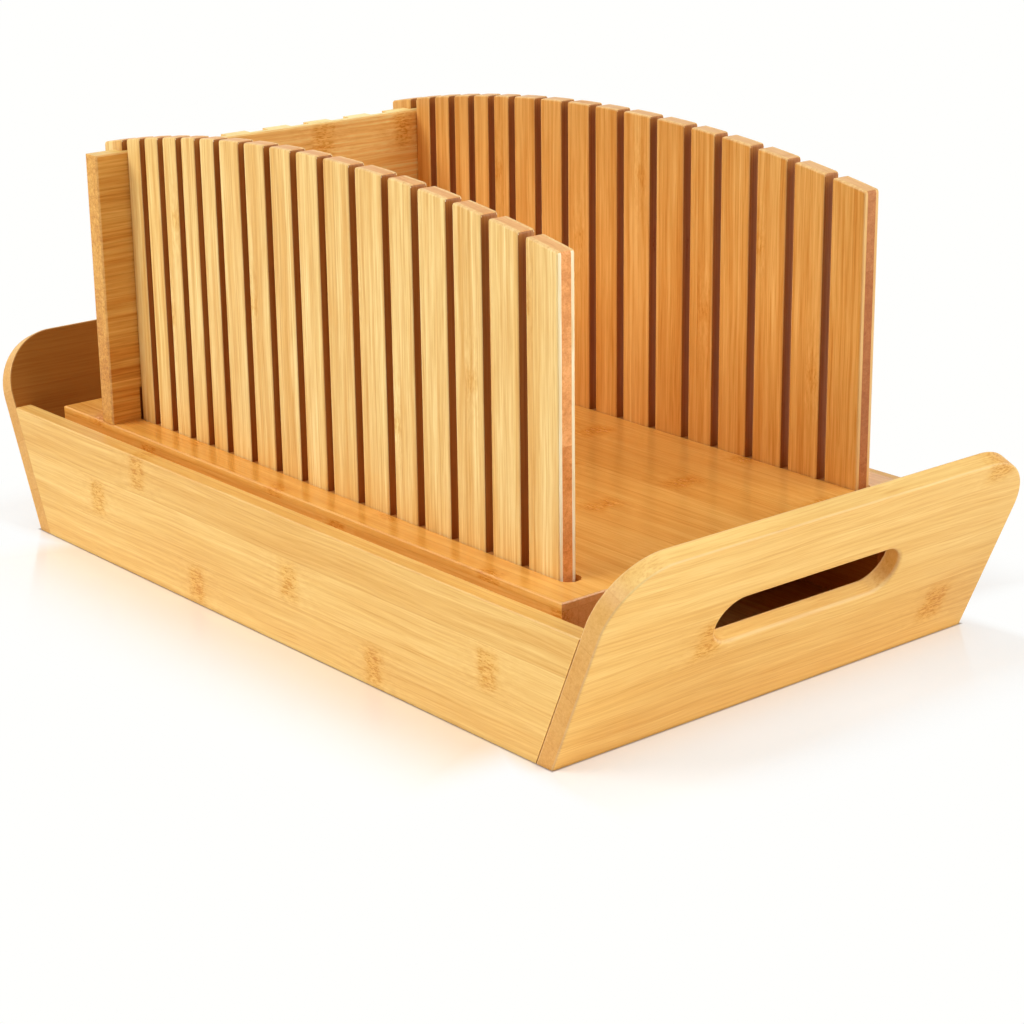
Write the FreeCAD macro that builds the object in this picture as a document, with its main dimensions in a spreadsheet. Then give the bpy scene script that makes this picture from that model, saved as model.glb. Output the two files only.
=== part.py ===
# Bread slicer guide: a bamboo slicer with two comb guides and a stop board, in a crumb tray.
# Frame: +X along the loaf towards the open end, +Y to the right guide, +Z up.
# Origin: centre of the tray's footprint, on the surface that it stands on. Millimetres and degrees.
import FreeCAD, Part
import math
import os
import re
import Sketcher

SIZES = {
    # Comb guides: three plies glued face to face, slotted for the knife
    "core_ply": 4.4,
    "face_ply": 1.8,
    "channel_width": 142.0,
    "knife_slot": 4.0,
    "thin_pitch": 13.6,
    "medium_pitch": 17.2,
    "thick_pitch": 19.6,
    "far_post": 15.3,
    "near_post": 18.4,
    "guide_rise": 129.6,
    "arch_radius": 735.0,
    "arch_offset": 1.1,
    "slot_drop": 0.5,
    # Slicer base: a board on two rails, with a blind groove for each guide
    "base_thick": 18.0,
    "base_side_shelf": 14.5,
    "base_near_shelf": 18.0,
    "base_far_shelf": 23.1,
    "base_edge": 0.5,
    "groove_depth": 10.0,
    "groove_play": 0.5,
    "rail_rise": 29.6,
    "rail_width": 12.0,
    "rail_side_inset": 2.0,
    "rail_end_inset": 13.0,
    # Screws that hold the rails up to the board, from below
    "screw_width": 4.0,
    "screw_reach": 11.0,
    "screw_head": 8.0,
    "screw_head_depth": 3.0,
    "screw_sink": 1.0,
    "screw_play": 0.1,
    "screw_end_inset": 28.0,
    # Stop board: grooved at the back, its webs pass through the first knife slots
    "stop_thick": 8.0,
    "stop_rise": 113.8,
    "stop_edge": 0.6,
    "web_play": 0.2,
    "lap_play": 0.7,
    "lap_notch": 14.0,
    # Crumb tray
    "wall_thick": 8.0,
    "wall_rise": 52.2,
    "wall_edge": 0.5,
    "end_thick": 8.0,
    "end_splay": 23.6,
    "end_slope": 85.0,
    "end_corner": 26.0,
    "end_edge": 0.8,
    "grip_width": 92.0,
    "grip_gap": 20.0,
    "grip_level": 46.6,
    "grip_edge": 1.5,
    "floor_thick": 6.0,
    "floor_lift": 2.0,
    "floor_tongue": 3.0,
    "base_side_gap": 3.5,
    "base_end_gap": 15.6,
    # Hidden dowels that join the walls to the ends
    "dowel_width": 4.0,
    "dowel_in_wall": 14.0,
    "dowel_in_end": 5.0,
    "dowel_level": 15.0,
    "dowel_spacing": 21.0,
    "dowel_play": 0.1,
}

# The gaps between neighbouring knife slots, from the stop board to the open end
SLOT_STEPS = ["thin"] * 5 + ["medium"] * 4 + ["thick"] * 2 + ["medium"] + ["thick"] * 3
RIB_GROOVES = len(SLOT_STEPS) // 2 + 1
RAIL_SCREWS = 3
DOWEL_LEVELS = 2
TINY = 0.001

# Sizes that follow from the driving ones
DERIVED = {
    "slots_span": " + ".join(step + "_pitch" for step in SLOT_STEPS),
    "guide_thick": "core_ply + 2 * face_ply",
    "guide_length": "far_post + slots_span + near_post",
    "guide_centre": "channel_width / 2 + guide_thick / 2",
    "base_width": "channel_width + 2 * guide_thick + 2 * base_side_shelf",
    "base_length": "guide_length + base_near_shelf + base_far_shelf",
    "base_far_x": "-base_length / 2",
    "base_under": "floor_lift + floor_thick + rail_rise",
    "base_top": "base_under + base_thick",
    "guide_far_x": "base_far_x + base_far_shelf",
    "guide_under": "base_top - groove_depth",
    "guide_top": "base_top + guide_rise",
    "arch_x": "guide_far_x + guide_length / 2 - arch_offset",
    "rail_length": "base_length - 2 * rail_end_inset",
    "rail_far_x": "base_far_x + rail_end_inset",
    "rail_y": "base_width / 2 - rail_side_inset - rail_width / 2",
    "floor_top": "floor_lift + floor_thick",
    "screw_step": "(rail_length - 2 * screw_end_inset) / %d" % (RAIL_SCREWS - 1),
    "web_thick": "knife_slot - 2 * web_play",
    "stop_near_x": "guide_far_x + far_post + knife_slot / 2 - web_play",
    "lap_width": "guide_thick + 2 * lap_play",
    "rib_pitch": "2 * guide_centre / %d" % (RIB_GROOVES - 1),
    "inner_width": "base_width + 2 * base_side_gap",
    "tray_width": "inner_width + 2 * wall_thick",
    "end_run": "end_thick / cos(end_splay)",
    "wall_foot": "base_length / 2 + base_end_gap - base_under * tan(end_splay)",
    "tray_foot": "wall_foot + end_run",
    "wall_y": "tray_width / 2 - wall_thick / 2",
}

NODES = []

doc = FreeCAD.newDocument("bread_slicer")
sheet = doc.addObject("Spreadsheet::Sheet", "sizes")
for row, (alias, size) in enumerate(SIZES.items(), start=1):
    sheet.set("A%d" % row, alias)
    sheet.set("B%d" % row, str(size))
    sheet.setAlias("B%d" % row, alias)
doc.recompute()


def sized(text):
    """The expression with each size's name replaced by its sheet cell or its own formula."""
    def swap(match):
        word = match.group(0)
        if word in SIZES:
            return "sizes." + word
        if word in DERIVED:
            return "(" + sized(DERIVED[word]) + ")"
        return word
    return re.sub(r"[a-z_]+", swap, text)


def bind(item, prop, text):
    item.setExpression(prop, sized(text))


def put(item, x="0", y="0", z="0"):
    """Places an object at a point that follows the sizes."""
    bind(item, "Placement.Base.x", x)
    bind(item, "Placement.Base.y", y)
    bind(item, "Placement.Base.z", z)


def turn(item, x, y, z, yaw, pitch):
    """Places an object turned about Y by pitch, then about Z by yaw."""
    spot = "create(<<vector>>; %s; %s; %s)" % (x, y, z)
    spin = "create(<<rotation>>; %s; %s; 0)" % (yaw, pitch)
    bind(item, "Placement", "create(<<placement>>; %s; %s)" % (spot, spin))


def node(item, name):
    item.Label = name
    NODES.append(item)
    return item


def group(name, solids):
    """One node that holds several separate solids."""
    item = doc.addObject("Part::Compound", name)
    item.Links = solids
    return node(item, name)


def new_body(name):
    body = doc.addObject("PartDesign::Body", name)
    return node(body, name)


def plane(body, role):
    return next(item for item in body.Origin.OriginFeatures if item.Role == role)


def sketch_on(body, role, name, offset="0"):
    sketch = body.newObject("Sketcher::SketchObject", name)
    sketch.AttachmentSupport = [(plane(body, role), "")]
    sketch.MapMode = "FlatFace"
    bind(sketch, "AttachmentOffset.Base.z", offset)
    return sketch


def pin_point(sketch, geometry, end, across, up):
    """Fixes one point of a sketch at a place that follows the sizes."""
    now = sketch.getPoint(geometry, end)
    for kind, place, text in (("DistanceX", now.x, across), ("DistanceY", now.y, up)):
        index = sketch.addConstraint(Sketcher.Constraint(kind, -1, 1, geometry, end, place))
        bind(sketch, "Constraints[%d]" % index, text)


def outline(sketch, corners):
    """Closes straight edges round the corners, each an (across, up) pair."""
    first = sketch.GeometryCount
    count = len(corners)
    for step in range(count):
        start = FreeCAD.Vector(step, step * step, 0)
        end = FreeCAD.Vector(step + 1, (step + 1) ** 2, 0)
        sketch.addGeometry(Part.LineSegment(start, end), False)
    for step, (across, up) in enumerate(corners):
        following = first + (step + 1) % count
        sketch.addConstraint(Sketcher.Constraint("Coincident", first + step, 2, following, 1))
        pin_point(sketch, first + step, 1, across, up)


def rectangle(sketch, left, low, right, high):
    outline(sketch, [(left, low), (right, low), (right, high), (left, high)])


def stadium(sketch, across, up, half_run, radius):
    """A slot outline with round ends, half_run from its middle to each end's centre."""
    arcs = []
    for side in (-1, 1):
        middle = FreeCAD.Vector(side, 0, 0)
        ring = Part.Circle(middle, FreeCAD.Vector(0, 0, 1), 1.0)
        quarter = math.pi / 2
        arc = Part.ArcOfCircle(ring, -side * quarter, (2 - side) * quarter)
        index = sketch.addGeometry(arc, False)
        centre = "%s + %d * %s" % (across, side, half_run)
        pin_point(sketch, index, 3, centre, up)
        pin_point(sketch, index, 1, centre, "%s - %d * %s" % (up, side, radius))
        turned = sketch.addConstraint(Sketcher.Constraint("DistanceX", -1, 1, index, 2, float(side)))
        bind(sketch, "Constraints[%d]" % turned, centre)
        arcs.append(index)
    for start, end in (arcs, reversed(arcs)):
        straight = Part.LineSegment(sketch.getPoint(start, 2), sketch.getPoint(end, 1))
        index = sketch.addGeometry(straight, False)
        sketch.addConstraint(Sketcher.Constraint("Coincident", start, 2, index, 1))
        sketch.addConstraint(Sketcher.Constraint("Coincident", end, 1, index, 2))


def feature(body, kind, sketch, name, depth=None, reverse=False, middle=False):
    """Pads or pockets a sketch, through everything where no depth is given."""
    item = body.newObject("PartDesign::" + kind, name)
    item.Profile = sketch
    item.Reversed = reverse
    if middle:
        item.SideType = "Symmetric"
    if depth is None:
        item.Type = "ThroughAll"
    else:
        bind(item, "Length", depth)
    return item


def drill(body, name, radius, depth, x, y, z, pitch="0"):
    """Takes a round hole out of a body, from a point along the axis turned from +Z about Y."""
    hole = body.newObject("PartDesign::SubtractiveCylinder", name)
    bind(hole, "Radius", radius)
    bind(hole, "Height", depth)
    turn(hole, x, y, z, "0", pitch)
    return hole


def rod(name, radius, depth, x, y, z, pitch="0"):
    """A plain cylinder from a point along the axis turned from +Z about Y."""
    item = doc.addObject("Part::Cylinder", name)
    bind(item, "Radius", radius)
    bind(item, "Height", depth)
    turn(item, x, y, z, "0", pitch)
    return item


def lies_at(edge, axis, place):
    """True where a whole edge lies in the plane across the axis at the place."""
    box = edge.BoundBox
    low = getattr(box, axis + "Min")
    high = getattr(box, axis + "Max")
    return abs(low - place) < TINY and abs(high - place) < TINY


def soften(body, kind, name, size, wanted):
    """Rounds or chamfers the edges of a body's last feature that the test picks."""
    doc.recompute()
    base = body.Tip
    edges = ["Edge%d" % number for number, edge in enumerate(base.Shape.Edges, start=1)
             if wanted(edge, base.Shape.BoundBox)]
    if not edges:
        raise RuntimeError(name + " finds no edge")
    item = body.newObject("PartDesign::" + kind, name)
    item.Base = (base, edges)
    bind(item, "Radius" if kind == "Fillet" else "Size", size)
    return item


# ---- crumb tray ----

def dowel_place(end, level, setback):
    """Where a dowel's axis is, setback behind the face where a wall meets an end: x, z, pitch."""
    slope = "(dowel_level + %d * dowel_spacing)" % level
    along = "%d * (wall_foot + %s * sin(end_splay) - %s * cos(end_splay))" % (end, slope, setback)
    height = "%s * cos(end_splay) + %s * sin(end_splay)" % (slope, setback)
    return along, height, "%d * (90 + end_splay)" % end


def tray_wall(name, side):
    """A long side wall, its ends cut to the splay, grooved inside for the floor."""
    body = new_body(name)
    profile = sketch_on(body, "XZ_Plane", name + "_profile")
    top_run = "(wall_foot + wall_rise * tan(end_splay))"
    outline(profile, [("-wall_foot", "0"), ("wall_foot", "0"),
                      (top_run, "wall_rise"), ("-" + top_run, "wall_rise")])
    feature(body, "Pad", profile, name + "_board", "wall_thick", middle=True)
    slot = sketch_on(body, "XZ_Plane", name + "_slot", "%d * wall_thick / 2" % side)
    rectangle(slot, "-2 * wall_foot", "floor_lift", "2 * wall_foot", "floor_top")
    feature(body, "Pocket", slot, name + "_groove", "floor_tongue", reverse=side < 0)
    for end in (-1, 1):
        for level in range(DOWEL_LEVELS):
            along, height, pitch = dowel_place(end, level, "dowel_in_wall")
            drill(body, "%s_hole_%d_%d" % (name, end + 1, level), "dowel_width / 2 + dowel_play",
                  "2 * dowel_in_wall", along, "0", height, pitch)
    soften(body, "Chamfer", name + "_top_edges", "wall_edge",
           lambda edge, box: lies_at(edge, "Z", box.ZMax) and edge.BoundBox.YLength < TINY)
    put(body, y="%d * wall_y" % side)


def in_grip(box):
    """True where an edge of an end panel belongs to the hand grip's slot."""
    half_width = SIZES["grip_width"] / 2 + TINY
    half_gap = SIZES["grip_gap"] / 2 + TINY
    return (max(-box.YMin, box.YMax) < half_width and box.ZMin > SIZES["grip_level"] - half_gap
            and box.ZMax < SIZES["grip_level"] + half_gap)


def tray_end(name, side):
    """A splayed end panel with round top corners and a hand grip. Its own z runs up the slope."""
    body = new_body(name)
    toe = "end_thick * tan(end_splay)"
    face = sketch_on(body, "YZ_Plane", name + "_face")
    rectangle(face, "-tray_width / 2", "-" + toe, "tray_width / 2", "end_slope")
    feature(body, "Pad", face, name + "_board", "end_thick", reverse=True)
    foot = sketch_on(body, "XZ_Plane", name + "_foot")
    outline(foot, [("0", "0"), ("0", "-2 * " + toe), ("-2 * end_thick", "-2 * " + toe)])
    feature(body, "Pocket", foot, name + "_foot_cut", "2 * tray_width", middle=True)
    grip = sketch_on(body, "YZ_Plane", name + "_grip")
    stadium(grip, "0", "grip_level", "(grip_width - grip_gap) / 2", "grip_gap / 2")
    feature(body, "Pocket", grip, name + "_grip_slot")
    for wall in (-1, 1):
        for level in range(DOWEL_LEVELS):
            up = "dowel_level + %d * dowel_spacing - %s" % (level, toe)
            drill(body, "%s_hole_%d_%d" % (name, wall + 1, level), "dowel_width / 2 + dowel_play",
                  "dowel_in_end + dowel_play", "-end_thick", "%d * wall_y" % wall, up, "90")
    soften(body, "Fillet", name + "_corners", "end_corner",
           lambda edge, box: lies_at(edge, "Z", box.ZMax) and edge.BoundBox.YLength < TINY)
    soften(body, "Fillet", name + "_top_edges", "end_edge",
           lambda edge, box: lies_at(edge, "Z", box.ZMax) and edge.BoundBox.XLength < TINY)
    soften(body, "Fillet", name + "_grip_edges", "grip_edge",
           lambda edge, box: edge.BoundBox.XLength < TINY and in_grip(edge.BoundBox))
    turn(body, "%d * tray_foot" % side, "0", "0", "0" if side > 0 else "180", "end_splay")


def tray_floor(name):
    """The bottom board, its long edges in the walls' grooves and its ends cut to the splay."""
    body = new_body(name)
    profile = sketch_on(body, "XZ_Plane", name + "_profile")
    low_run = "(wall_foot + floor_lift * tan(end_splay))"
    high_run = "(wall_foot + floor_top * tan(end_splay))"
    outline(profile, [("-" + low_run, "floor_lift"), (low_run, "floor_lift"),
                      (high_run, "floor_top"), ("-" + high_run, "floor_top")])
    feature(body, "Pad", profile, name + "_board", "inner_width + 2 * floor_tongue", middle=True)


def tray_dowels(name):
    """Two dowels at each end of each wall, square to the joint."""
    rods = []
    for side in (-1, 1):
        for end in (-1, 1):
            for level in range(DOWEL_LEVELS):
                along, height, pitch = dowel_place(end, level, "dowel_in_wall")
                rods.append(rod("dowel", "dowel_width / 2", "dowel_in_wall + dowel_in_end",
                                along, "%d * wall_y" % side, height, pitch))
    group(name, rods)


# ---- slicer base ----

def base_screw_places():
    """The x and y of each screw, and its number."""
    for side in (-1, 1):
        for step in range(RAIL_SCREWS):
            along = "rail_far_x + screw_end_inset + %d * screw_step" % step
            yield along, "%d * rail_y" % side, side


def base_board(name):
    """The slicer's board, with a blind round-ended groove that seats each guide."""
    body = new_body(name)
    face = sketch_on(body, "XY_Plane", name + "_face")
    rectangle(face, "base_far_x", "-base_width / 2", "base_far_x + base_length", "base_width / 2")
    feature(body, "Pad", face, name + "_board", "base_thick")
    grooves = sketch_on(body, "XY_Plane", name + "_groove_lines", "base_thick")
    for side in (-1, 1):
        stadium(grooves, "guide_far_x + guide_length / 2", "%d * guide_centre" % side,
                "(guide_length / 2 + groove_play)", "(guide_thick / 2 + groove_play)")
    feature(body, "Pocket", grooves, name + "_grooves", "groove_depth")
    for number, (along, aside, side) in enumerate(base_screw_places()):
        drill(body, "%s_pilot_%d" % (name, number), "screw_width / 2 + screw_play",
              "screw_reach + screw_play", along, aside, "0")
    soften(body, "Chamfer", name + "_top_edges", "base_edge",
           lambda edge, box: (lies_at(edge, "Z", box.ZMax)
                              and (lies_at(edge, "X", box.XMin) or lies_at(edge, "X", box.XMax)
                                   or lies_at(edge, "Y", box.YMin) or lies_at(edge, "Y", box.YMax))))
    put(body, z="base_under")


def base_rail(name, side):
    """A rail that holds the board up off the tray's floor, with its screws' heads let in below."""
    body = new_body(name)
    face = sketch_on(body, "XY_Plane", name + "_face")
    rectangle(face, "rail_far_x", "-rail_width / 2", "rail_far_x + rail_length", "rail_width / 2")
    feature(body, "Pad", face, name + "_board", "rail_rise")
    for number, (along, aside, place) in enumerate(base_screw_places()):
        if place == side:
            drill(body, "%s_bore_%d" % (name, number), "screw_width / 2 + screw_play", "rail_rise",
                  along, "0", "0")
            drill(body, "%s_sink_%d" % (name, number), "screw_head / 2 + screw_play",
                  "screw_sink + screw_head_depth", along, "0", "0")
    put(body, y="%d * rail_y" % side, z="floor_top")


def base_screws(name):
    screws = []
    for along, aside, side in base_screw_places():
        head = rod("head", "screw_head / 2", "screw_head_depth", along, aside, "floor_top + screw_sink")
        shank = rod("shank", "screw_width / 2", "rail_rise - screw_sink + screw_reach",
                    along, aside, "floor_top + screw_sink")
        screw = doc.addObject("Part::Fuse", "screw")
        screw.Base = head
        screw.Tool = shank
        screws.append(screw)
    group(name, screws)


# ---- comb guides ----

def knife_slots():
    """The saw cuts through both guides, in line so that one blade runs in a pair of them."""
    cuts = []
    run = "guide_far_x + far_post"
    for step in [None] + SLOT_STEPS:
        if step:
            run += " + %s_pitch" % step
        cut = doc.addObject("Part::Box", "cut")
        bind(cut, "Length", "knife_slot")
        bind(cut, "Width", "base_width")
        bind(cut, "Height", "guide_rise + 2 * slot_drop")
        put(cut, run + " - knife_slot / 2", "-base_width / 2", "base_top - slot_drop")
        cuts.append(cut)
    slots = doc.addObject("Part::Compound", "knife_slots")
    slots.Links = cuts
    return slots


def guide_arch():
    """The large round that both guides' tops follow."""
    arch = doc.addObject("Part::Cylinder", "guide_arch")
    bind(arch, "Radius", "arch_radius")
    bind(arch, "Height", "base_width")
    spot = "create(<<vector>>; arch_x; -base_width / 2; guide_top - arch_radius)"
    spin = "create(<<rotation>>; 0; 0; -90)"
    bind(arch, "Placement", "create(<<placement>>; %s; %s)" % (spot, spin))
    return arch


def guide_ply(name, low_y, thick, arch, slots):
    """One layer of a guide: a board under the arch, slotted down to the base."""
    blank = doc.addObject("Part::Box", name + "_blank")
    bind(blank, "Length", "guide_length")
    bind(blank, "Width", thick)
    bind(blank, "Height", "groove_depth + guide_rise")
    put(blank, "guide_far_x", low_y, "guide_under")
    shaped = doc.addObject("Part::Common", name + "_shaped")
    shaped.Base = blank
    shaped.Tool = arch
    comb = doc.addObject("Part::Cut", name)
    comb.Base = shaped
    comb.Tool = slots
    node(comb, name)


def guide(name, side, arch, slots):
    """A comb guide of three plies, the outer one away from the loaf."""
    inner = "channel_width / 2"
    layers = [("inner_ply", inner, "face_ply"),
              ("core_ply", inner + " + face_ply", "core_ply"),
              ("outer_ply", inner + " + face_ply + core_ply", "face_ply")]
    for layer, start, thick in layers:
        low = start if side > 0 else "-(%s) - %s" % (start, thick)
        guide_ply("%s_%s" % (name, layer), low, thick, arch, slots)


# ---- stop board ----

def stop_board(name):
    """The board that the loaf is pushed against. Its webs slide in the first knife slots."""
    body = new_body(name)
    profile = sketch_on(body, "YZ_Plane", name + "_face")
    edge = "base_width / 2"
    corners = []
    for side in (-1, 1):
        near = "%d * guide_centre - lap_width / 2" % side
        far = "%d * guide_centre + lap_width / 2" % side
        corners += [(near, "0"), (near, "lap_notch"), (far, "lap_notch"), (far, "0")]
    outline(profile, [("-" + edge, "0")] + corners
            + [(edge, "0"), (edge, "stop_rise"), ("-" + edge, "stop_rise")])
    feature(body, "Pad", profile, name + "_board", "stop_thick", reverse=True)
    grooves = sketch_on(body, "YZ_Plane", name + "_groove_lines", "-stop_thick")
    for step in range(RIB_GROOVES):
        middle = "%d * rib_pitch - guide_centre" % step
        rectangle(grooves, middle + " - lap_width / 2", "-stop_rise",
                  middle + " + lap_width / 2", "2 * stop_rise")
    feature(body, "Pocket", grooves, name + "_grooves", "stop_thick - web_thick", reverse=True)
    soften(body, "Chamfer", name + "_face_edges", "stop_edge",
           lambda edge, box: (lies_at(edge, "X", box.XMax)
                              and (lies_at(edge, "Z", box.ZMax) or lies_at(edge, "Y", box.YMin)
                                   or lies_at(edge, "Y", box.YMax))))
    put(body, x="stop_near_x", z="base_top")


for side, name in ((-1, "left"), (1, "right")):
    tray_wall("tray_wall_" + name, side)
for side, name in ((-1, "far"), (1, "near")):
    tray_end("tray_end_" + name, side)
tray_floor("tray_floor")
tray_dowels("tray_dowels")
base_board("base_board")
for side, name in ((-1, "left"), (1, "right")):
    base_rail("base_rail_" + name, side)
base_screws("base_screws")
slots = knife_slots()
arch = guide_arch()
for side, name in ((-1, "left"), (1, "right")):
    guide("guide_" + name, side, arch, slots)
stop_board("stop_board")
doc.recompute()

for item in doc.Objects:
    if "Invalid" in item.State or "Error" in item.State:
        raise RuntimeError(item.Name + " did not recompute: " + str(item.State))
for item in NODES:
    if item.Shape.isNull() or not item.Shape.isValid() or not item.Shape.Solids:
        raise RuntimeError(item.Label + " has no sound shape")

os.makedirs("parts", exist_ok=True)
for item in NODES:
    item.Shape.exportStep("parts/" + item.Label + ".step")
    print("%-24s %2d solid(s) %9.0f mm3" % (item.Label, len(item.Shape.Solids), item.Shape.Volume))
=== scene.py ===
import math

import bmesh
import bpy
from mathutils import Matrix, Vector

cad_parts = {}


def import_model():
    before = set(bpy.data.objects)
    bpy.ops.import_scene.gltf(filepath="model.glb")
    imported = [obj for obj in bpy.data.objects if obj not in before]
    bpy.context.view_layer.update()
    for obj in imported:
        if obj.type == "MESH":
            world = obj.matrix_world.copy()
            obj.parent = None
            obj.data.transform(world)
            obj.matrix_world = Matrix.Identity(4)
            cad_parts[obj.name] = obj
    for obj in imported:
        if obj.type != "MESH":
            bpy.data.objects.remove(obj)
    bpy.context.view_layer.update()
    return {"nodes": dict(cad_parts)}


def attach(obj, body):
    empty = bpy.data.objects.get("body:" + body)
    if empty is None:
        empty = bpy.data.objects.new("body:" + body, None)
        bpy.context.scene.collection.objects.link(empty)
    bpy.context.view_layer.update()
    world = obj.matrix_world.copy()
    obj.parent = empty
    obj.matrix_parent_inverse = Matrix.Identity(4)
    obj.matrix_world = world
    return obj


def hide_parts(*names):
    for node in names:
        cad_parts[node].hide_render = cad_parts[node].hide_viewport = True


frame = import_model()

MM = 0.001
MM_PER_METRE = 1000.0
X, Y, Z = (1.0, 0.0, 0.0), (0.0, 1.0, 0.0), (0.0, 0.0, 1.0)

# Comb guides, in mm, as in the CAD source
THIN, MEDIUM, THICK = 13.6, 17.2, 19.6
KNIFE_SLOT = 4.0
SLOT_STEPS = [THIN] * 5 + [MEDIUM] * 4 + [THICK] * 2 + [MEDIUM] + [THICK] * 3
FIRST_SLOT = -125.0
GUIDE_FAR, GUIDE_NEAR = -140.3, 145.4
GUIDE_FOOT = 45.6
SLOT_FOOT = 55.1
BASE_TOP = 55.6
GUIDE_TOP = 185.2
ARCH_RADIUS = 735.0
ARCH_MIDDLE = 1.45
INNER_FACE, INNER_GLUE, OUTER_GLUE, OUTER_FACE = 71.0, 72.8, 77.2, 79.0

# Rounding of the slats: the arris round the shown face, and the two top corners
SLAT_ARRIS = 0.7
SLAT_CORNER = 1.0
ARRIS_STEPS = 3
SMOOTH_BELOW = math.radians(35.0)

# A face whose normal has this much of a direction faces that way, and a guide's ends lie this near
FACING_SQUARELY = 0.9
END_MARGIN = 1.0

# Tray
END_SPLAY = math.radians(23.6)

# Colours of the wood: light, dark, then those of the edges and cut ends
STRAW = (0.90, 0.555, 0.162)
STRAW_DARK = (0.80, 0.42, 0.09)
STRAW_END = (0.74, 0.37, 0.085)
# Painted shade: the darker, warmer colour that the tray ends' inner faces take, where the slicer shades
# them
INSIDE_SHADE = (0.44, 0.17, 0.025)
HONEY = (0.95, 0.485, 0.105)
HONEY_DARK = (0.83, 0.36, 0.06)
HONEY_END = (0.95, 0.48, 0.17)
STOP = (0.97, 0.63, 0.205)
STOP_DARK = (0.87, 0.45, 0.10)
STOP_END = (0.95, 0.58, 0.16)
STOP_RIM = (0.95, 0.74, 0.27)
PLY = (0.955, 0.66, 0.243)
PLY_DARK = (0.83, 0.46, 0.115)
PLY_RIM = (1.0, 0.88, 0.58)
PLY_TOP = (0.84, 0.51, 0.175)
PLY_RIGHT = (0.88, 0.49, 0.135)
PLY_RIGHT_DARK = (0.76, 0.36, 0.075)
PLY_RIGHT_RIM = (0.84, 0.51, 0.18)
CORE = (0.92, 0.40, 0.118)
CORE_DARK = (0.70, 0.25, 0.05)
CORE_RIGHT = (0.52, 0.175, 0.037)
CORE_RIGHT_DARK = (0.41, 0.125, 0.023)
CORE_TOP = (0.78, 0.41, 0.125)
# The slots' sawn faces: darker sawn wood, and partly painted shade in the slots
SAWN_AND_SHADE = (0.52, 0.20, 0.042)
SAWN_AND_SHADE_DARK = (0.38, 0.135, 0.024)

# What parts of the wood's pattern multiply its colour by, and how far
BUNDLE_TINT, BUNDLE_SHARE = (0.9, 0.76, 0.6), 0.45
PORE_TINT, PORE_SHARE = (0.86, 0.72, 0.5), 0.35
BAND_TINT, BAND_SHARE = (0.96, 0.87, 0.66), 0.75
TICK_TINT = (0.82, 0.63, 0.33)
SEAM_TINT, SEAM_SHARE = (0.84, 0.7, 0.5), 0.45
# The painted highlight that the arrises go towards
ARRIS_HIGHLIGHT = (1.0, 0.80, 0.48)

# Zinc: colours, the scale per mm and octaves of its grain, and the roughness from smooth spots on
ZINC_LIGHT = (0.72, 0.71, 0.67)
ZINC_DARK = (0.55, 0.54, 0.50)
ZINC_GRAIN = (2.2, 3.0)
ZINC_SMOOTH, ZINC_ROUGHER_BY = 0.25, 0.2

# Nodes of the boards that the photograph shows, as (strip, mm along the grain)
WALL_MARKS = ((1, -119.8), (2, -87.4), (0, -46.2), (1, 18.2), (0, 70.8), (1, 137.0))
END_MARKS = ((4, 85.5), (1, 79.5), (2, -47.0))
STOP_MARKS = ((8, 20.0), (8, 64.0), (5, -20.0), (4, 40.0), (6, -60.0))
GUIDE_MARKS = {
    "left": ((-13, 105.9), (-12, 146.4), (-5, 121.7), (4, 138.5), (7, 92.0), (13, 118.0), (17, 151.6)),
    "right": ((-9, 150.0), (-2, 128.0), (3, 160.0), (8, 110.0), (12, 143.0), (16, 96.0)),
}
GUIDE_COLOURS = {
    "left": (PLY, PLY_DARK, PLY_RIM, CORE, CORE_DARK),
    "right": (PLY_RIGHT, PLY_RIGHT_DARK, PLY_RIGHT_RIM, CORE_RIGHT, CORE_RIGHT_DARK),
}

# Noises in the wood: scale per mm along and across the grain, octaves, and their roughness
RIPPLE = (0.25, 0.4, 2.0, 0.5)
TICKS = (0.42, 1.5, 2.0, 0.6)
FIBRE = (0.03, 1.05, 4.0, 0.7)
SHORT_FIBRE = (0.2, 0.85, 3.0, 0.7)
PORE = (0.045, 1.6, 1.0, 0.5)
LINE = (0.009, 0.6, 2.0, 0.6)
BROAD = (0.006, 0.06, 1.0, 0.5)
STREAK_ALONG, STREAK_OCTAVES, STREAK_ROUGH = 0.008, 3.0, 0.6
SWAY_ALONG, SWAY_ACROSS = 0.012, 0.03
DRIFT_ALONG, DRIFT_ACROSS = 0.03, 0.4
BUNDLES_PER_MM = 0.95

# From where to where in its noise each of them shows
STREAK_RANGE, STREAK_MOST = (0.36, 0.68), 0.6
PORE_RANGE = (0.58, 0.68)
TICK_RANGE = (0.46, 0.60)
BUNDLE_RANGE = (0.12, 0.34)

# Distances in mm
RIPPLE_BY = 6.0
DRIFT_BY = 2.4
STRIP_OFFSET = 900.0                # shifts each strip's grain by up to this much
ROW_APART = 1000.0                  # keeps a node to its own strip
SHORT_FIBRES = (4.0, 32.0)          # short fibres at a node go over to long ones
SIDE_SEAM, LAYER_SEAM = 0.35, 0.3   # a glue line starts this far from where strips meet
SEAM_FULL = 0.05
RELIEF_DEPTH = 0.12

# A node's band gets weaker towards the strip's sides
STRIP_SIDE = 0.5
BAND_FADE, BAND_LEAST = (0.22, STRIP_SIDE), 0.15

# How much of the brightness comes from what, and the powers of it for red and blue
STRIP_LEVEL, BROAD_LEVEL, FIBRE_LEVEL, LINE_LEVEL = 0.12, 0.16, 0.62, 0.46
RED_POWER, BLUE_POWER = 0.5, 1.9
PAINTED_LIGHT_TREND_LIMIT = 0.1                   # the most that a board's painted light trend adds

# How far a surface has to face the other way to take the painted shade of the inside, and along the grain
# or across it to take another colour
INSIDE_SHADE_FACING = (-0.9, -0.5)
END_FACING, END_SHARE = (0.5, 0.9), 0.8
RIM_FACING = (0.86, 0.97)

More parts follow.
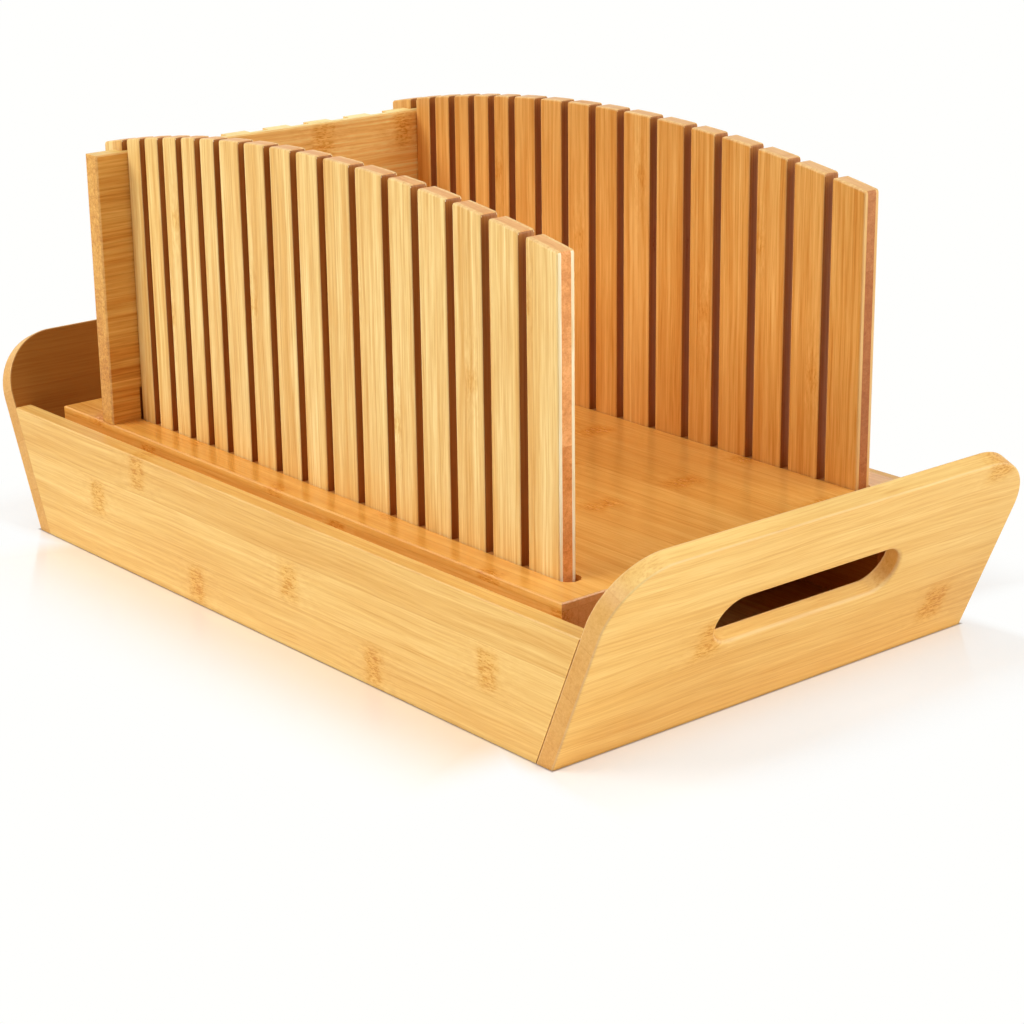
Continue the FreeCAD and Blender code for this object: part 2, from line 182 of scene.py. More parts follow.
# Relief: heights as shares of its depth, and how strong it is
FIBRE_HEIGHT, LINE_HEIGHT, BUNDLE_HEIGHT, TICK_HEIGHT, SEAM_HEIGHT = 0.5, 0.4, -0.2, -0.5, -0.6
RELIEF_STRENGTH = 0.3
FIBRE_ROUGH, BAND_ROUGH = 0.16, 0.06

# How a board's bamboo is, unless the board says otherwise. Lengths are in mm
PLAIN_BAMBOO = {
    "lamella": 40.0,        # thickness of a strip
    "shift": 0.0,           # where the strips start, in strips
    "seed": 0.0,
    "marks": (),            # nodes that the board is known to have; without them every strip gets its own
    "joint": 130.0,         # from node to node in a board without marks
    "spread": 8.0,          # how far a node's band reaches from its middle
    "knots": 1.0,           # how strong the nodes are
    "wave": 1.6,            # how far the grain wanders
    "figure": 0.26,         # how close the dark streaks are, per mm
    "streaks": 1.0,         # how strong fibres, lines and streaks are
    "tone": 1.0,            # how much the strips differ
    "specks": 1.0,          # how strong the dots on the end grain are
    "trend": 0.0,           # painted light and shade: how much lighter it gets per mm along the grain, as a share of one
    "rise": (0.0, 0.0),     # painted light: a place across the grain, and how much lighter it gets per mm from there
    "rim": None,            # colour that the long edges go towards
    "rim_share": 0.6,       # and how far
    "end": None,            # colour that the cut ends go towards
    "inside": None,         # painted shade on the face turned away from depth
    "bright": 0.12,         # how strong the painted highlight on the arrises is
    "rough": 0.40,
    "shine": 0.3,
}

# Studio, in metres
SKY = 0.1
SKY_COLOUR = (1.0, 0.99, 0.97)
BACKGROUND = (1.0, 1.0, 0.985)
WHITE = (1.0, 1.0, 1.0)
FLOOR_SIZE = 24.0
FLOOR_WHITE = (0.97, 0.97, 0.965)
# The colour of the painted shadow along the tray's foot
FLOOR_CONTACT_SHADOW = (0.16, 0.09, 0.04)
FLOOR_LIFT = 0.08
FLOOR_ROUGH = 0.12
FLOOR_GLOSS, FLOOR_GLOSS_FAR = 0.4, 0.05
FLOOR_GLOSS_REACH = 0.065
PAST_END, PAST_END_GLOSS = 0.006, 0.7       # weaker mirroring past the tray's ends
PLAIN_FROM = 0.078                          # from here on the floor is plain white
PLAIN_AT_ENDS, PLAIN_AT_ENDS_MOST = (-0.016, 0.03), 0.6
PLAIN_AT_CORNERS_X, PLAIN_AT_CORNERS_Y = (-0.03, 0.0), (-0.004, 0.012)
# Where the painted shadow along the tray's foot reaches, and how dark it gets
CONTACT_SHADOW_RANGE, CONTACT_SHADOW_MOST = (0.0002, 0.0014), 0.8
TRAY_HALF_LENGTH, TRAY_HALF_WIDTH = 0.165, 0.105
TRAY_FOOT = 0.1713
LIGHTS_AIM = (0.0, 0.0, 0.09)
SOFTBOXES = (   # name, place, size, watts
    ("key_left", (-0.8, -1.5, 1.35), (1.2, 0.9), 30.5),
    ("fill_right", (1.4, 1.0, 1.35), (1.0, 0.9), 13.0),
    ("top", (-0.1, 0.0, 2.1), (1.8, 1.5), 13.5),
    ("low_right", (1.95, 1.2, 0.3), (1.1, 0.5), 13.0),
    ("front", (2.2, 0.2, 1.1), (0.8, 0.6), 8.0),
)

# Camera, fitted to the photograph: metres, radians, and mm for the lens
CAMERA_PLACE = (0.764312, -0.615597, 0.353818)
CAMERA_YAW = math.radians(140.193)
CAMERA_PITCH = math.radians(-18.444)
CAMERA_ROLL = math.radians(-0.712)
CAMERA_LENS, CAMERA_SENSOR = 88.527, 36.0
CAMERA_CLIP = (0.01, 50.0)


# ---- shader nodes ----

class Shader:
    """A material, and short names for the nodes that make it."""

    def __init__(self, name):
        self.material = bpy.data.materials.new(name)
        self.material.use_nodes = True
        self.tree = self.material.node_tree
        self.tree.nodes.clear()

    def add(self, kind, **settings):
        node = self.tree.nodes.new("ShaderNode" + kind)
        for key, value in settings.items():
            setattr(node, key, value)
        return node

    def feed(self, node, key, value):
        if isinstance(value, bpy.types.NodeSocket):
            self.tree.links.new(value, node.inputs[key])
        else:
            node.inputs[key].default_value = value

    def math(self, operation, *values, clamp=False):
        node = self.add("Math", operation=operation, use_clamp=clamp)
        for index, value in enumerate(values):
            self.feed(node, index, value)
        return node.outputs[0]

    def vector(self, operation, *values):
        node = self.add("VectorMath", operation=operation)
        for index, value in enumerate(values):
            self.feed(node, index, value)
        return node.outputs["Value" if operation in ("DOT_PRODUCT", "DISTANCE") else 0]

    def in_mm(self, coords):
        """The place on the object, in mm."""
        place = self.vector("SCALE", coords.outputs["Object"])
        self.feed(place.node, "Scale", MM_PER_METRE)
        return place

    def join(self, x, y, z):
        node = self.add("CombineXYZ")
        for index, value in enumerate((x, y, z)):
            self.feed(node, index, value)
        return node.outputs[0]

    def stretch(self, *pairs):
        """A point for a noise from three distances in mm, each followed by its own scale."""
        scaled = [self.math("MULTIPLY", pairs[i], pairs[i + 1]) for i in (0, 2, 4)]
        return self.join(*scaled)

    def swing(self, value, by, start):
        """A number moved up and down by a noise, which is 0.5 on average."""
        return self.math("MULTIPLY_ADD", self.math("SUBTRACT", value, 0.5), by, start)

    def off_middle(self, value):
        """How far a point is from the middle of its strip: 0 there and 0.5 at the strip's sides."""
        return self.math("ABSOLUTE", self.math("SUBTRACT", self.math("FRACT", value), 0.5))

    def blend(self, share, first, second):
        """One number going over into another."""
        return self.math("MULTIPLY_ADD", share, self.math("SUBTRACT", second, first), first)

    def noise(self, place, scale=1.0, detail=2.0, rough=0.5):
        node = self.add("TexNoise")
        self.feed(node, "Vector", place)
        self.feed(node, "Scale", scale)
        self.feed(node, "Detail", detail)
        self.feed(node, "Roughness", rough)
        return node.outputs["Fac"]

    def grain(self, g, w, t, along, across, detail, rough):
        """A noise with one scale along the grain and another across it."""
        return self.noise(self.stretch(g, along, w, across, t, across), 1.0, detail, rough)

    def cells(self, place, scale):
        node = self.add("TexVoronoi", voronoi_dimensions="2D", feature="F1")
        self.feed(node, "Vector", place)
        self.feed(node, "Scale", scale)
        return node.outputs["Distance"]

    def chance(self, place):
        """Three random numbers that belong to a cell."""
        node = self.add("TexWhiteNoise", noise_dimensions="3D")
        self.feed(node, "Vector", place)
        parts = self.add("SeparateXYZ")
        self.feed(parts, 0, node.outputs["Color"])
        return parts.outputs[0], parts.outputs[1], parts.outputs[2]

    def ramp(self, value, low, high, to_low=0.0, to_high=1.0):
        node = self.add("MapRange", interpolation_type="SMOOTHSTEP")
        for key, number in enumerate((value, low, high, to_low, to_high)):
            self.feed(node, key, number)
        return node.outputs[0]

    def mix(self, share, first, second, blend="MIX"):
        node = self.add("Mix", data_type="RGBA", blend_type=blend)
        self.feed(node, 0, share)
        self.feed(node, 6, first)
        self.feed(node, 7, second)
        return node.outputs[2]

    def tint(self, colour, share, by):
        """The colour multiplied by another, as far as share says."""
        return self.mix(share, colour, opaque(by), "MULTIPLY")

    def towards(self, colour, share, other):
        """The colour going over into another, as far as share says."""
        return self.mix(share, colour, opaque(other))

    def finish(self, surface):
        out = self.add("OutputMaterial")
        self.feed(out, "Surface", surface.outputs[0])
        return self.material


def opaque(colour):
    return (*colour, 1.0)


class Values:
    """Values kept under names."""

    def __init__(self, **values):
        for name, value in values.items():
            setattr(self, name, value)


# ---- bamboo ----

def strips(s, look, along, across, depth, stave):
    """Where a point is: g, w and t mm along the board's own directions, and in which strip."""
    coords = s.add("TexCoord")
    spot = s.in_mm(coords)
    at = Values(normal=coords.outputs["Normal"])
    at.g = s.vector("DOT_PRODUCT", spot, along)
    at.w = s.vector("DOT_PRODUCT", spot, across)
    at.t = s.vector("DOT_PRODUCT", spot, depth)
    row_at = s.math("MULTIPLY_ADD", at.w, 1.0 / stave, look.shift)
    layer_at = s.math("MULTIPLY_ADD", at.t, 1.0 / look.lamella, STRIP_SIDE)
    at.row = s.math("FLOOR", row_at)
    at.layer = s.math("FLOOR", layer_at)
    at.row_side = s.off_middle(row_at)
    at.layer_side = s.off_middle(layer_at)
    at.node_chance, at.grain_chance, at.tone_chance = s.chance(s.join(at.row, at.layer, look.seed))
    return at


def wander(s, look, at):
    """The grain wanders a little from strip to strip, and each strip has a grain of its own."""
    sway = s.noise(s.stretch(at.g, SWAY_ALONG, at.w, SWAY_ACROSS, at.layer, 1.0))
    at.ww = s.swing(sway, look.wave * 2.0, at.w)
    at.gg = s.math("MULTIPLY_ADD", at.grain_chance, STRIP_OFFSET, at.g)


def nearest_mark(s, marks, g, row):
    """How far it is to the nearest of the nodes that the board is known to have, in the same strip."""
    here = s.join(g, s.math("MULTIPLY", row, ROW_APART), 0.0)
    gaps = [s.vector("DISTANCE", here, (mark_g, mark_row * ROW_APART, 0.0)) for mark_row, mark_g in marks]
    away = gaps[0]
    for gap in gaps[1:]:
        away = s.math("MINIMUM", away, gap)
    return away


def node_bands(s, look, at):
    """Nodes: a band right across one strip, of small dark ticks."""
    g = s.swing(s.grain(at.g, at.w, at.t, *RIPPLE), RIPPLE_BY, at.g)
    if look.marks:
        away = nearest_mark(s, look.marks, g, at.row)
    else:
        along = s.math("MULTIPLY_ADD", at.node_chance, look.joint, g)
        away = s.math("PINGPONG", along, look.joint / 2)
    node = Values(near=s.ramp(away, *SHORT_FIBRES, 1.0, 0.0))
    band = s.ramp(away, look.spread / 4, look.spread, look.knots, 0.0)
    node.band = s.math("MULTIPLY", band, s.ramp(at.row_side, *BAND_FADE, 1.0, BAND_LEAST))
    ticks = s.ramp(s.grain(at.g, at.ww, at.t, *TICKS), *TICK_RANGE)
    node.ticks = s.math("MULTIPLY", node.band, ticks)
    return node


def fibres(s, look, at, near):
    """Fibres, pores, lines and streaks, and the dots that the fibres leave on the end grain."""
    place = (at.gg, at.ww, at.t)
    wood = Values()
    wood.fibre = s.blend(near, s.grain(*place, *FIBRE), s.grain(*place, *SHORT_FIBRE))
    wood.pore = s.ramp(s.grain(*place, *PORE), *PORE_RANGE)
    wood.line = s.grain(*place, *LINE)
    wood.streak = s.grain(*place, STREAK_ALONG, look.figure, STREAK_OCTAVES, STREAK_ROUGH)
    wood.broad = s.grain(*place, *BROAD)
    drift = s.noise(s.stretch(at.gg, DRIFT_ALONG, at.ww, DRIFT_ACROSS, at.t, 0.0), 1.0, 1.0)
    spot = s.join(at.ww, s.math("MULTIPLY_ADD", drift, DRIFT_BY, at.t), 0.0)
    wood.bundle = s.ramp(s.cells(spot, BUNDLES_PER_MM), *BUNDLE_RANGE, 1.0, 0.0)
    return wood


def seam(s, side, start, size):
    """One glue line, at the sides of strips of this size in mm."""
    return s.ramp(side, STRIP_SIDE - start / size, STRIP_SIDE - SEAM_FULL / size)


def glue_lines(s, look, at, stave):
    """Where one strip meets the next."""
    beside = seam(s, at.row_side, SIDE_SEAM, stave)
    below = seam(s, at.layer_side, LAYER_SEAM, look.lamella)
    return s.math("MAXIMUM", beside, below)


def brightness(s, look, at, wood):
    """How light the wood is, with painted light and shade along and across the grain. Where it is darker,
    it is also warmer.
    """
    level = s.swing(at.tone_chance, STRIP_LEVEL * look.tone, 1.0)
    level = s.swing(wood.broad, BROAD_LEVEL * look.tone, level)
    level = s.swing(wood.fibre, FIBRE_LEVEL * look.streaks, level)
    level = s.swing(wood.line, LINE_LEVEL * look.streaks, level)
    # painted light and shade: lighter along the grain, and lighter across it from a given place
    trend = s.math("MINIMUM", s.math("MULTIPLY", at.g, look.trend), PAINTED_LIGHT_TREND_LIMIT)
    level = s.math("ADD", trend, level)
    rise_from, rise_by = look.rise
    level = s.math("MULTIPLY_ADD", s.math("SUBTRACT", at.w, rise_from), rise_by, level)
    return s.join(s.math("POWER", level, RED_POWER), level, s.math("POWER", level, BLUE_POWER))


def face_colours(s, look, at, colour, along, across, facing):
    """The painted shade of the inner face, and the colours of the cut ends and the long edges."""
    # painted shade on the inner face
    if look.inside:
        colour = s.towards(colour, s.ramp(facing, *INSIDE_SHADE_FACING, 1.0, 0.0), look.inside)
    if look.end:
        at_end = s.math("ABSOLUTE", s.vector("DOT_PRODUCT", at.normal, along))
        colour = s.towards(colour, s.ramp(at_end, *END_FACING, 0.0, END_SHARE), look.end)
    if look.rim:
        at_rim = s.math("ABSOLUTE", s.vector("DOT_PRODUCT", at.normal, across))
        colour = s.towards(colour, s.ramp(at_rim, *RIM_FACING, 0.0, look.rim_share), look.rim)
    return colour


def relief(s, wood, node, glue):
    """Raised fibres, with bundles, ticks and glue lines sunk between them."""
    height = s.math("MULTIPLY", wood.line, LINE_HEIGHT)
    height = s.math("MULTIPLY_ADD", wood.fibre, FIBRE_HEIGHT, height)
    height = s.math("MULTIPLY_ADD", wood.bundle, BUNDLE_HEIGHT, height)
    height = s.math("MULTIPLY_ADD", node.ticks, TICK_HEIGHT, height)
    height = s.math("MULTIPLY_ADD", glue, SEAM_HEIGHT, height)
    bump = s.add("Bump")
    s.feed(bump, "Height", height)
    s.feed(bump, "Strength", RELIEF_STRENGTH)
    s.feed(bump, "Distance", RELIEF_DEPTH * MM)
    return bump.outputs[0]


def highlight_arris(s, facing):
    """Where the painted highlight goes: 1 where a surface turns from the board's face to its side, and 0
    on both.
    """
    at_face = s.math("ABSOLUTE", facing)
    both = s.math("MULTIPLY", at_face, s.math("SUBTRACT", 1.0, at_face))
    return s.math("MULTIPLY", both, 4.0, clamp=True)


def bamboo(name, light, dark, along, across, depth, stave, **changes):
    """Boards glued up from bamboo strips: fibres along the grain, dots on the end grain, and nodes.

    along, across and depth are the directions of the grain, from strip to strip and from layer to
    layer, stave is the width of a strip in mm, and changes are to PLAIN_BAMBOO."""
    assert set(changes) <= set(PLAIN_BAMBOO), changes
    look = Values(**{**PLAIN_BAMBOO, **changes})
    s = Shader(name)
    at = strips(s, look, along, across, depth, stave)
    wander(s, look, at)
    node = node_bands(s, look, at)
    wood = fibres(s, look, at, node.near)
    glue = glue_lines(s, look, at, stave)
    facing = s.vector("DOT_PRODUCT", at.normal, depth)

    streaked = s.ramp(wood.streak, *STREAK_RANGE, 0.0, STREAK_MOST * look.streaks)
    colour = s.mix(streaked, opaque(light), opaque(dark))
    colour = s.tint(colour, s.math("MULTIPLY", wood.bundle, BUNDLE_SHARE * look.specks), BUNDLE_TINT)
    colour = face_colours(s, look, at, colour, along, across, facing)
    colour = s.mix(1.0, colour, brightness(s, look, at, wood), "MULTIPLY")
    colour = s.tint(colour, s.math("MULTIPLY", wood.pore, PORE_SHARE * look.streaks), PORE_TINT)
    colour = s.tint(colour, s.math("MULTIPLY", node.band, BAND_SHARE), BAND_TINT)
    colour = s.tint(colour, node.ticks, TICK_TINT)
    colour = s.tint(colour, s.math("MULTIPLY", glue, SEAM_SHARE), SEAM_TINT)
    # painted highlight on the arrises
    colour = s.towards(colour, s.math("MULTIPLY", highlight_arris(s, facing), look.bright), ARRIS_HIGHLIGHT)

    rough = s.math("MULTIPLY_ADD", wood.fibre, FIBRE_ROUGH, look.rough - FIBRE_ROUGH / 2)
    rough = s.math("MULTIPLY_ADD", node.band, BAND_ROUGH, rough)
    body = s.add("BsdfPrincipled")
    s.feed(body, "Base Color", colour)
    s.feed(body, "Roughness", rough)
    s.feed(body, "Normal", relief(s, wood, node, glue))
    s.feed(body, "Specular IOR Level", look.shine)
    return s.finish(body)


# ---- boards that keep their CAD shape ----

def dress(node, material):
    """Gives a CAD node its material."""
    piece = frame["nodes"][node]
    piece.data.materials.clear()
    piece.data.materials.append(material)
    for face in piece.data.polygons:
        face.material_index = 0


def tray_walls():
    wall = {"stave": 18.8, "shift": 0.08, "end": STRAW_END}
    # The left wall gets painted light, lighter towards its top.
    left = bamboo("wall_left", STRAW, STRAW_DARK, X, Z, Y, seed=3.0, marks=WALL_MARKS,
                  rise=(28.0, 0.0018), **wall)
    right = bamboo("wall_right", STRAW, STRAW_DARK, X, Z, Y, seed=7.0, **wall)
    dress("tray_wall_left", left)
    dress("tray_wall_right", right)


def splayed(side):
    """The grain, slope and outward directions of a tray end."""
    slope = (side * math.sin(END_SPLAY), 0.0, math.cos(END_SPLAY))
    outward = (side * math.cos(END_SPLAY), 0.0, -math.sin(END_SPLAY))
    return Y, slope, outward


def tray_ends():
    # Both ends' inner faces get painted shade.
    board = {"stave": 22.0, "end": STRAW_END, "inside": INSIDE_SHADE}
    # The near end gets painted light, lighter towards its top, and a stronger painted highlight on its
    # arrises.
    near = bamboo("end_near", STRAW, STRAW_DARK, *splayed(1), seed=11.0, shift=-2.477, marks=END_MARKS,
                  wave=3.5, figure=0.13, streaks=0.9, spread=10.0, rise=(96.0, 0.0028), bright=0.25,
                  **board)
    far = bamboo("end_far", STRAW, STRAW_DARK, *splayed(-1), seed=15.0, shift=0.1, **board)
    dress("tray_end_near", near)
    dress("tray_end_far", far)


def tray_floor():
    board = bamboo("floor_board", STRAW, STRAW_DARK, X, Y, Z, stave=20.0, shift=0.3, seed=19.0)
    dress("tray_floor", board)


def slicer_base():
    # The base board gets painted light, lighter towards its near end, and no painted highlight on its
    # arrises.
    board = bamboo("base_wood", HONEY, HONEY_DARK, X, Y, Z, stave=21.0, lamella=6.2, shift=0.1,
                   seed=23.0, end=HONEY_END, rough=0.2, shine=0.6, trend=0.0006, bright=0.0)
    rail = bamboo("rail_wood", HONEY, HONEY_DARK, X, Z, Y, stave=15.0, lamella=6.0, shift=0.2,
                  seed=27.0, end=HONEY_END)
    dress("base_board", board)
    dress("base_rail_left", rail)
    dress("base_rail_right", rail)


def stop_board():
    # Painted shade and light: the stop board darker towards its ear at -Y and lighter towards its top.
    board = bamboo("stop_wood", STOP, STOP_DARK, Y, Z, X, stave=19.5, lamella=4.762, shift=0.2,
                   seed=31.0, marks=STOP_MARKS, streaks=1.5, specks=0.4, figure=0.55, trend=0.0042,
                   rise=(110.0, 0.0012), end=STOP_END, rim=STOP_RIM, rim_share=0.8)
    dress("stop_board", board)


def tray_dowels():
    rod = bamboo("dowel_wood", PLY, PLY_DARK, X, Y, Z, stave=30.0, lamella=30.0, seed=35.0)
    dress("tray_dowels", rod)


def screws():
    s = Shader("zinc_steel")
    grain = s.noise(s.in_mm(s.add("TexCoord")), *ZINC_GRAIN)
    body = s.add("BsdfPrincipled")
    s.feed(body, "Base Color", s.mix(grain, opaque(ZINC_LIGHT), opaque(ZINC_DARK)))
    s.feed(body, "Metallic", 1.0)
    s.feed(body, "Roughness", s.math("MULTIPLY_ADD", grain, ZINC_ROUGHER_BY, ZINC_SMOOTH))
    dress("base_screws", s.finish(body))


# ---- guides ----

def arch_level(x):
    """How high the guides' arched top is at x, in mm."""
    return GUIDE_TOP - ARCH_RADIUS + math.sqrt(ARCH_RADIUS ** 2 - (x - ARCH_MIDDLE) ** 2)


def slot_centres():
    """Where the knife slots are along X, from the far end on."""
    centres = [FIRST_SLOT]
    for step in SLOT_STEPS:
        centres.append(centres[-1] + step)
    return centres


def slat_top(left, right):
    """The top of one slat from right to left, its two corners rounded."""
    corner = SLAT_CORNER
    chord = corner * (1.0 - math.sqrt(0.5))
    places = [
        (right, corner),
        (right - chord, chord),
        (right - corner, 0.0),
        ((left + right) / 2, 0.0),
        (left + corner, 0.0),
        (left + chord, chord),
        (left, corner),
    ]
    return [(x, arch_level(x) - drop) for x, drop in places]


def comb_outline():
    """A guide seen from the side, from its far foot round by the near end, as (x, z) in mm."""
    points = [(GUIDE_FAR, GUIDE_FOOT), (GUIDE_NEAR, GUIDE_FOOT)]
    right = GUIDE_NEAR
    for centre in reversed(slot_centres()):
        left = centre + KNIFE_SLOT / 2
        points += slat_top(left, right)
        points += [(left, SLOT_FOOT), (left - KNIFE_SLOT, SLOT_FOOT)]
        right = left - KNIFE_SLOT
    points += slat_top(GUIDE_FAR, right)
    return points


def round_arrises(bm, face_verts):
    """Rounds the arrises round one face of a layer, as far down as they show."""
    shown = set(face_verts)
    foot = (BASE_TOP - 1.0) * MM
    edges = [e for e in bm.edges if set(e.verts) <= shown and max(v.co.z for v in e.verts) > foot]
    bmesh.ops.bevel(bm, geom=edges, offset=SLAT_ARRIS * MM, segments=ARRIS_STEPS, profile=0.5,
                    affect="EDGES", clamp_overlap=True)


def ply_mesh(name, y_face, y_back, rounded):
    """One layer of a guide. Where it is to be rounded, the face at y_face is the one that shows."""
    outline = comb_outline()
    bm = bmesh.new()
    front = [bm.verts.new((x * MM, y_face * MM, z * MM)) for x, z in outline]
    back = [bm.verts.new((x * MM, y_back * MM, z * MM)) for x, z in outline]
    bm.faces.new(front)
    bm.faces.new(back)
    count = len(outline)
    for i in range(count):
        j = (i + 1) % count
        bm.faces.new((front[i], front[j], back[j], back[i]))
    bmesh.ops.recalc_face_normals(bm, faces=bm.faces)
    if rounded:
        round_arrises(bm, front)
    mesh = bpy.data.meshes.new(name)
    bm.to_mesh(mesh)
    bm.free()
    piece = bpy.data.objects.new(name, mesh)
    bpy.context.scene.collection.objects.link(piece)
    smooth_corners(piece)
    return piece


def smooth_corners(piece):
    """Smooth shading over the rounded edges and flat shading over the faces."""
    for face in piece.data.polygons:
        face.use_smooth = True
    piece.data.set_sharp_from_angle(angle=SMOOTH_BELOW)
    weighted = piece.modifiers.new("weighted", "WEIGHTED_NORMAL")
    weighted.keep_sharp = True
    weighted.weight = 100


def mark_kerfs(piece):
    """Gives the sawn faces of the knife slots the piece's second material, which is darker sawn wood and
    partly painted shade in the slots.
    """
    for face in piece.data.polygons:
        x, _, z = (part / MM for part in face.center)
        inside = GUIDE_FAR + END_MARGIN < x < GUIDE_NEAR - END_MARGIN
        side = abs(face.normal.x) > FACING_SQUARELY and inside
        foot = face.normal.z > FACING_SQUARELY and z < BASE_TOP
        face.material_index = 1 if side or foot else 0


def guide_woods(hand, seed):
    """The materials of one guide: its face plies, its core and its sawn slots, darkened partly by painted
    shade.
    """
    light, dark, edge, heart, heart_dark = GUIDE_COLOURS[hand]
    face = bamboo("ply_%s" % hand, light, dark, Z, X, Y, stave=7.5, shift=0.3, seed=seed,
                  marks=GUIDE_MARKS[hand], streaks=1.5, rim=edge, rim_share=0.85, end=PLY_TOP,
                  spread=6.0, knots=0.6)
    core = bamboo("core_%s" % hand, heart, heart_dark, X, Z, Y, stave=37.6, shift=0.26,
                  seed=seed + 12, specks=1.4, tone=3.0, rim=CORE_TOP, rim_share=0.75)
    sawn_and_shade = bamboo("kerf_%s" % hand, SAWN_AND_SHADE, SAWN_AND_SHADE_DARK, Z, Y, X, stave=1.8, shift=0.5, seed=seed + 4,
                  joint=900.0)
    return face, core, sawn_and_shade


def guide(hand, side):
    """The three layers of one guide, each with its face and back, whether it is rounded, and its wood."""
    face, core, sawn_and_shade = guide_woods(hand, 40.0 + 5.0 * side)
    layers = (
        ("inner_ply", INNER_FACE, INNER_GLUE, True, face),
        ("core_ply", INNER_GLUE, OUTER_GLUE, False, core),
        ("outer_ply", OUTER_FACE, OUTER_GLUE, True, face),
    )
    for layer, y_face, y_back, rounded, wood in layers:
        node = "guide_%s_%s" % (hand, layer)
        piece = ply_mesh("comb_%s_%s" % (hand, layer), side * y_face, side * y_back, rounded)
        piece.data.materials.append(wood)
        piece.data.materials.append(sawn_and_shade)
        mark_kerfs(piece)
        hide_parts(node)
        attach(piece, "guide_%s" % hand)


# ---- studio ----

def floor_places(s):
    """How far a point of the floor is beyond the tray, and beyond its ends, both in metres; then, from
    0 to 1, how plain the floor is there, and how dark the painted shadow along the tray's foot is."""
    place = s.add("SeparateXYZ")
    s.feed(place, 0, s.add("TexCoord").outputs["Object"])
    beyond_x = s.math("SUBTRACT", s.math("ABSOLUTE", place.outputs[0]), TRAY_HALF_LENGTH)
    beyond_y = s.math("SUBTRACT", s.math("ABSOLUTE", place.outputs[1]), TRAY_HALF_WIDTH)
    beyond = s.math("MAXIMUM", beyond_x, beyond_y)
    at_ends = s.ramp(beyond_x, *PLAIN_AT_ENDS, 0.0, PLAIN_AT_ENDS_MOST)
    corner_x = s.ramp(beyond_x, *PLAIN_AT_CORNERS_X)
    corner_y = s.ramp(beyond_y, *PLAIN_AT_CORNERS_Y)
    near_tray = s.math("MAXIMUM", at_ends, s.math("MINIMUM", corner_x, corner_y))
    away = s.math("MAXIMUM", s.ramp(beyond, 0.0, PLAIN_FROM), near_tray)
    past_foot = s.math("SUBTRACT", beyond_x, TRAY_FOOT - TRAY_HALF_LENGTH)
    contact_shadow = s.ramp(s.math("MAXIMUM", past_foot, beyond_y), *CONTACT_SHADOW_RANGE, CONTACT_SHADOW_MOST, 0.0)
    return beyond, beyond_x, away, contact_shadow


def floor_material():
    """White, with a painted shadow where the tray touches it. For the camera only, it is lifted to plain
    white.
    """
    s = Shader("studio_white")
    beyond, beyond_x, away, contact_shadow = floor_places(s)
    open_floor = s.math("SUBTRACT", 1.0, contact_shadow)
    seen = s.add("LightPath").outputs["Is Camera Ray"]

    matt = s.add("BsdfDiffuse")
    # painted shadow along the tray's foot
    s.feed(matt, "Color", s.mix(contact_shadow, opaque(FLOOR_WHITE), opaque(FLOOR_CONTACT_SHADOW)))
    lift = s.add("Emission")
    s.feed(lift, "Color", opaque(WHITE))
    s.feed(lift, "Strength", s.math("MULTIPLY", s.math("MULTIPLY", seen, FLOOR_LIFT), open_floor))
    lifted = s.add("AddShader")
    s.feed(lifted, 0, matt.outputs[0])
    s.feed(lifted, 1, lift.outputs[0])

    gloss = s.add("BsdfGlossy")
    s.feed(gloss, "Color", opaque(WHITE))
    s.feed(gloss, "Roughness", FLOOR_ROUGH)
    mirror = s.ramp(beyond, 0.0, FLOOR_GLOSS_REACH, FLOOR_GLOSS, FLOOR_GLOSS_FAR)
    mirror = s.math("MULTIPLY", mirror, s.ramp(beyond_x, 0.0, PAST_END, 1.0, PAST_END_GLOSS))
    polished = s.add("MixShader")
    s.feed(polished, 0, s.math("MULTIPLY", mirror, open_floor))
    s.feed(polished, 1, lifted.outputs[0])
    s.feed(polished, 2, gloss.outputs[0])

    plain = s.add("Emission")
    s.feed(plain, "Color", opaque(BACKGROUND))
    both = s.add("MixShader")
    s.feed(both, 0, s.math("MULTIPLY", s.math("MULTIPLY", away, seen), open_floor))
    s.feed(both, 1, polished.outputs[0])
    s.feed(both, 2, plain.outputs[0])
    return s.finish(both)


def floor():
    bpy.ops.mesh.primitive_plane_add(size=FLOOR_SIZE, location=(0.0, 0.0, 0.0))
    plane = bpy.context.object
    plane.name = "studio_floor"
    plane.data.materials.append(floor_material())


def background(nodes, colour, strength):
    node = nodes.new("ShaderNodeBackground")
    node.inputs["Color"].default_value = opaque(colour)
    node.inputs["Strength"].default_value = strength
    return node


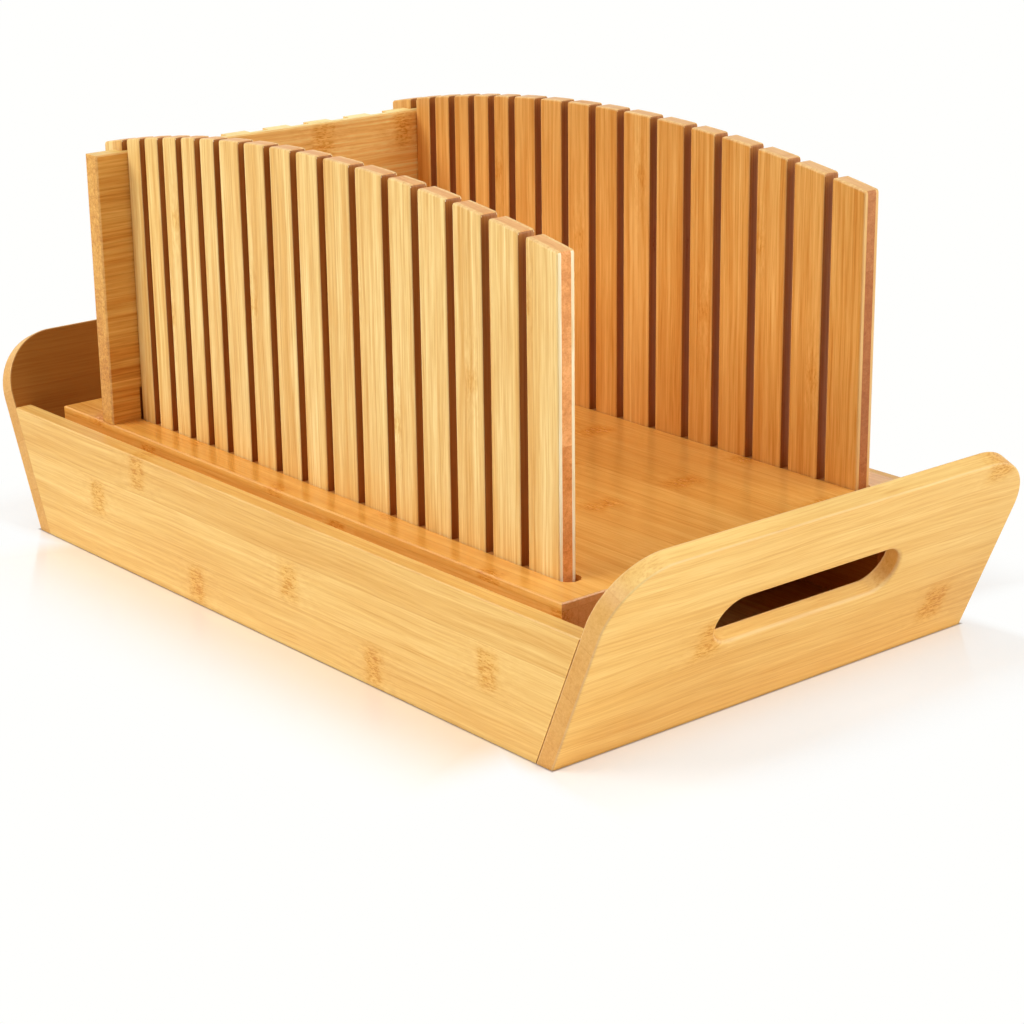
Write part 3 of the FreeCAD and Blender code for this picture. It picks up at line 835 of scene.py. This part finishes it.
def world():
    """Even light from all round, and plain white where the camera and reflections see it."""
    sky = bpy.data.worlds.new("studio")
    bpy.context.scene.world = sky
    sky.use_nodes = True
    nodes, links = sky.node_tree.nodes, sky.node_tree.links
    nodes.clear()
    path = nodes.new("ShaderNodeLightPath")
    white = nodes.new("ShaderNodeMath")
    white.operation = "MAXIMUM"
    links.new(path.outputs["Is Camera Ray"], white.inputs[0])
    links.new(path.outputs["Is Glossy Ray"], white.inputs[1])
    light = background(nodes, SKY_COLOUR, SKY)
    shown = background(nodes, BACKGROUND, 1.0)
    both = nodes.new("ShaderNodeMixShader")
    links.new(white.outputs[0], both.inputs[0])
    links.new(light.outputs[0], both.inputs[1])
    links.new(shown.outputs[0], both.inputs[2])
    out = nodes.new("ShaderNodeOutputWorld")
    links.new(both.outputs[0], out.inputs["Surface"])


def softbox(name, place, size, watts):
    lamp = bpy.data.lights.new(name, "AREA")
    lamp.shape = "RECTANGLE"
    lamp.size, lamp.size_y = size
    lamp.energy = watts
    holder = bpy.data.objects.new(name, lamp)
    bpy.context.scene.collection.objects.link(holder)
    holder.location = place
    aim = Vector(LIGHTS_AIM) - Vector(place)
    holder.rotation_euler = aim.to_track_quat("-Z", "Y").to_euler()


def camera():
    """The photograph's viewpoint, with the horizon turned by the roll that it has."""
    yaw, pitch, roll = CAMERA_YAW, CAMERA_PITCH, CAMERA_ROLL
    ahead = Vector((math.cos(yaw) * math.cos(pitch), math.sin(yaw) * math.cos(pitch), math.sin(pitch)))
    level = Vector((math.sin(yaw), -math.cos(yaw), 0.0))
    upright = level.cross(ahead)
    right = level * math.cos(roll) + upright * math.sin(roll)
    up = upright * math.cos(roll) - level * math.sin(roll)
    data = bpy.data.cameras.new("photo_view")
    data.lens = CAMERA_LENS
    data.sensor_width = CAMERA_SENSOR
    data.clip_start, data.clip_end = CAMERA_CLIP
    view = bpy.data.objects.new("photo_view", data)
    bpy.context.scene.collection.objects.link(view)
    axes = Matrix((right, up, -ahead)).transposed()
    view.matrix_world = Matrix.Translation(CAMERA_PLACE) @ axes.to_4x4()
    bpy.context.scene.camera = view


def note_size():
    """Updates the view layer."""
    bpy.context.view_layer.update()


bpy.context.scene.view_settings.view_transform = "Standard"
camera()
world()
for box in SOFTBOXES:
    softbox(*box)
floor()
tray_walls()
tray_ends()
tray_floor()
slicer_base()
stop_board()
tray_dowels()
guide("left", -1)
guide("right", 1)
screws()
note_size()
